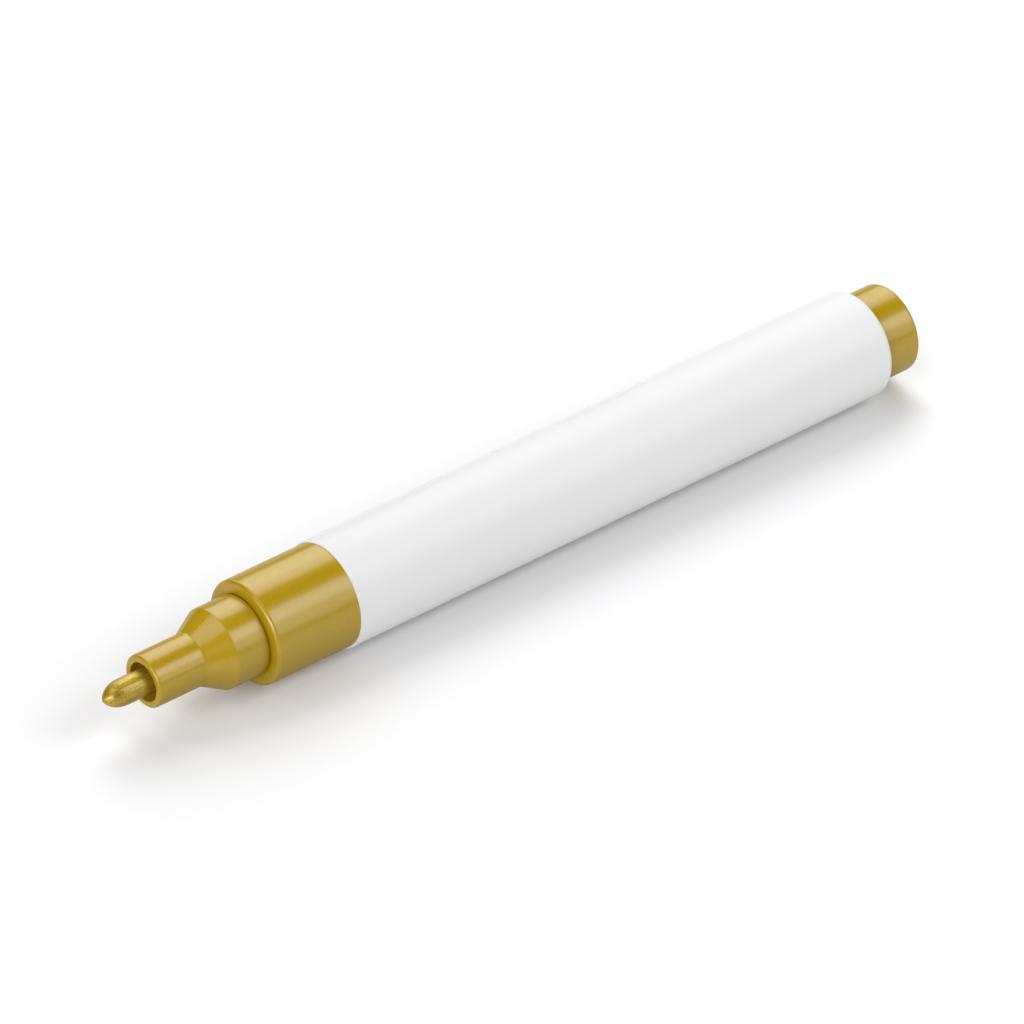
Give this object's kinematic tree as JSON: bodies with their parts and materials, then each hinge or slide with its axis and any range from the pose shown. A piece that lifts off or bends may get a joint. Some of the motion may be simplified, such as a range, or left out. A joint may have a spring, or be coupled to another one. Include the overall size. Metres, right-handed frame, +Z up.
{
  "type": "paint marker",
  "caption": "Uncapped valve-action paint marker with a plain white barrel, stepped gold front, gold end plug and a bullet nib that slides back to open a sprung valve.",
  "frame": {"origin": "on the surface that the marker lies on, under the middle of its overall length", "axes": "+X along the marker from the nib to the end plug, +Z up from the surface, +Y to the left of someone who looks along +X"},
  "size_m": [0.1322, 0.015, 0.015],
  "materials": {
    "gold_plastic": "metallic gold pigment moulded in, smooth satin gloss",
    "white_plastic": "opaque white, smooth satin gloss",
    "painted_fibre": "pressed fibre soaked with metallic gold paint",
    "sponge": "open absorbent fibre, stained by the paint",
    "valve_plastic": "natural white moulding",
    "seal_rubber": "black elastomer",
    "steel": "bright stainless steel"
  },
  "bodies": {
    "barrel": {"barrel": "white_plastic", "front_collar": "gold_plastic", "nozzle": "gold_plastic", "nib_sponge": "sponge", "valve_body": "valve_plastic", "valve_gasket": "seal_rubber", "spring_retainer": "valve_plastic", "valve_spring": "steel", "barrel_seal": "seal_rubber", "end_plug": "gold_plastic", "plug_seal": "seal_rubber"},
    "nib": {"nib": "painted_fibre"},
    "valve_stem": {"valve_stem": "valve_plastic", "stem_seal": "seal_rubber"},
    "mixing_ball": {"mixing_ball": "steel"}
  },
  "joints": [
    {"name": "nib_press", "type": "slide", "parent": "barrel", "child": "nib", "axis": [1, 0, 0], "range_m": [0, 0.002], "stiffness_N_per_m": 600},
    {"name": "stem_slide", "type": "slide", "parent": "barrel", "child": "valve_stem", "axis": [1, 0, 0], "range_m": [0, 0.002], "deforming": ["valve_spring"]},
    {"name": "ball_roll", "type": "slide", "parent": "barrel", "child": "mixing_ball", "axis": [1, 0, 0], "range_m": [-0.019, 0.0495]}
  ],
  "couplings": [
    {"joint": "stem_slide", "follows": "nib_press", "ratio": 1}
  ]
}
